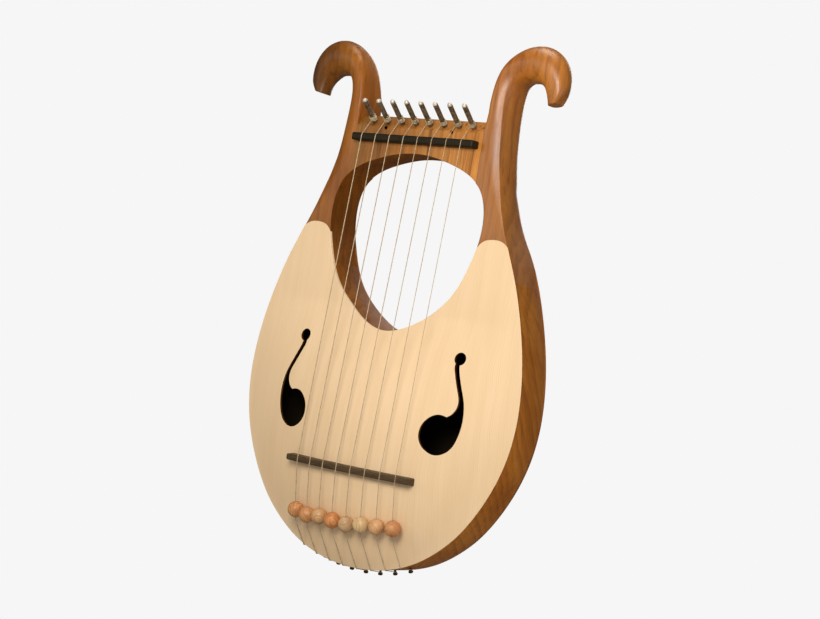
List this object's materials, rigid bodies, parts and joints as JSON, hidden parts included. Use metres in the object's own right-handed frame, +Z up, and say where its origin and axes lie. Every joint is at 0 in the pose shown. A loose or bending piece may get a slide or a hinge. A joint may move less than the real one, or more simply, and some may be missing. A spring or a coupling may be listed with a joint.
{
  "type": "lyre",
  "caption": "Hollow wooden lyre with scroll arms, a crossbar carrying tuning pins, a domed soundboard with comma sound holes, a bridge and a sliding tuning bead on each string.",
  "frame": {"origin": "on the back board's outer face, on the centre plane, at the height where the body is widest", "axes": "+X to the right seen from the front, +Y out of the back, +Z up towards the arms"},
  "size_m": [0.3602, 0.0845, 0.57],
  "materials": {
    "spruce_top": "satin clear lacquer on straight-grained pale spruce",
    "back_wood": "satin lacquer on dark reddish-brown hardwood",
    "side_wood": "satin lacquer on dark brown hardwood",
    "arm_wood": "satin lacquer on reddish mid-brown hardwood",
    "crossbar_wood": "satin lacquer, mid-brown hardwood with dark upright streaks",
    "brace_wood": "bare spruce and beech",
    "ebony": "oiled near-black ebony",
    "bead_wood": "turned, lightly polished orange-tan wood",
    "pin_steel": "dark aged nickel, worn bright at the tips",
    "dark_steel": "dark bronzed steel",
    "string_steel": "bright drawn steel wire"
  },
  "bodies": {
    "root": {"soundboard": "spruce_top", "back_board": "back_wood", "left_arm": "arm_wood", "right_arm": "arm_wood", "crossbar": "crossbar_wood", "left_rib": "side_wood", "right_rib": "side_wood", "hole_wall": "side_wood", "tail_block": "side_wood", "upper_brace": "brace_wood", "lower_brace": "brace_wood", "back_braces": "brace_wood", "crossbar_dowels": "brace_wood", "crossbar_screws": "dark_steel", "nut_bar": "ebony", "bridge": "ebony", "hitch_pins": "dark_steel", "string_1": "string_steel", "string_2": "string_steel", "string_3": "string_steel", "string_4": "string_steel", "string_5": "string_steel", "string_6": "string_steel", "string_7": "string_steel", "string_8": "string_steel"},
    "tuner_1": {"tuning_pin_1": "pin_steel", "winding_1": "string_steel"},
    "bead_body_1": {"bead_1": "bead_wood"},
    "tuner_2": {"tuning_pin_2": "pin_steel", "winding_2": "string_steel"},
    "bead_body_2": {"bead_2": "bead_wood"},
    "tuner_3": {"tuning_pin_3": "pin_steel", "winding_3": "string_steel"},
    "bead_body_3": {"bead_3": "bead_wood"},
    "tuner_4": {"tuning_pin_4": "pin_steel", "winding_4": "string_steel"},
    "bead_body_4": {"bead_4": "bead_wood"},
    "tuner_5": {"tuning_pin_5": "pin_steel", "winding_5": "string_steel"},
    "bead_body_5": {"bead_5": "bead_wood"},
    "tuner_6": {"tuning_pin_6": "pin_steel", "winding_6": "string_steel"},
    "bead_body_6": {"bead_6": "bead_wood"},
    "tuner_7": {"tuning_pin_7": "pin_steel", "winding_7": "string_steel"},
    "bead_body_7": {"bead_7": "bead_wood"},
    "tuner_8": {"tuning_pin_8": "pin_steel", "winding_8": "string_steel"},
    "bead_body_8": {"bead_8": "bead_wood"}
  },
  "joints": [
    {"name": "tuning_pin_1_turn", "type": "hinge", "parent": "root", "child": "tuner_1", "pos_m": [-0.06263, -0.042, 0.29354], "axis": [0, -0.7706, 0.6373], "continuous": true},
    {"name": "bead_1_slide", "type": "slide", "parent": "root", "child": "bead_body_1", "axis": [0, -0.2504, 0.9681], "range_m": [-0.004, 0.004]},
    {"name": "tuning_pin_2_turn", "type": "hinge", "parent": "root", "child": "tuner_2", "pos_m": [-0.0438, -0.042, 0.29354], "axis": [0, -0.7706, 0.6373], "continuous": true},
    {"name": "bead_2_slide", "type": "slide", "parent": "root", "child": "bead_body_2", "axis": [0, -0.2504, 0.9681], "range_m": [-0.004, 0.004]},
    {"name": "tuning_pin_3_turn", "type": "hinge", "parent": "root", "child": "tuner_3", "pos_m": [-0.02498, -0.042, 0.29354], "axis": [0, -0.7706, 0.6373], "continuous": true},
    {"name": "bead_3_slide", "type": "slide", "parent": "root", "child": "bead_body_3", "axis": [0, -0.2504, 0.9681], "range_m": [-0.004, 0.004]},
    {"name": "tuning_pin_4_turn", "type": "hinge", "parent": "root", "child": "tuner_4", "pos_m": [-0.00616, -0.042, 0.29354], "axis": [0, -0.7706, 0.6373], "continuous": true},
    {"name": "bead_4_slide", "type": "slide", "parent": "root", "child": "bead_body_4", "axis": [0, -0.2504, 0.9681], "range_m": [-0.004, 0.004]},
    {"name": "tuning_pin_5_turn", "type": "hinge", "parent": "root", "child": "tuner_5", "pos_m": [0.01266, -0.042, 0.29354], "axis": [0, -0.7706, 0.6373], "continuous": true},
    {"name": "bead_5_slide", "type": "slide", "parent": "root", "child": "bead_body_5", "axis": [0, -0.2504, 0.9681], "range_m": [-0.004, 0.004]},
    {"name": "tuning_pin_6_turn", "type": "hinge", "parent": "root", "child": "tuner_6", "pos_m": [0.03148, -0.042, 0.29354], "axis": [0, -0.7706, 0.6373], "continuous": true},
    {"name": "bead_6_slide", "type": "slide", "parent": "root", "child": "bead_body_6", "axis": [0, -0.2504, 0.9681], "range_m": [-0.004, 0.004]},
    {"name": "tuning_pin_7_turn", "type": "hinge", "parent": "root", "child": "tuner_7", "pos_m": [0.0503, -0.042, 0.29354], "axis": [0, -0.7706, 0.6373], "continuous": true},
    {"name": "bead_7_slide", "type": "slide", "parent": "root", "child": "bead_body_7", "axis": [0, -0.2504, 0.9681], "range_m": [-0.004, 0.004]},
    {"name": "tuning_pin_8_turn", "type": "hinge", "parent": "root", "child": "tuner_8", "pos_m": [0.06913, -0.042, 0.29354], "axis": [0, -0.7706, 0.6373], "continuous": true},
    {"name": "bead_8_slide", "type": "slide", "parent": "root", "child": "bead_body_8", "axis": [0, -0.2504, 0.9681], "range_m": [-0.004, 0.004]}
  ]
}
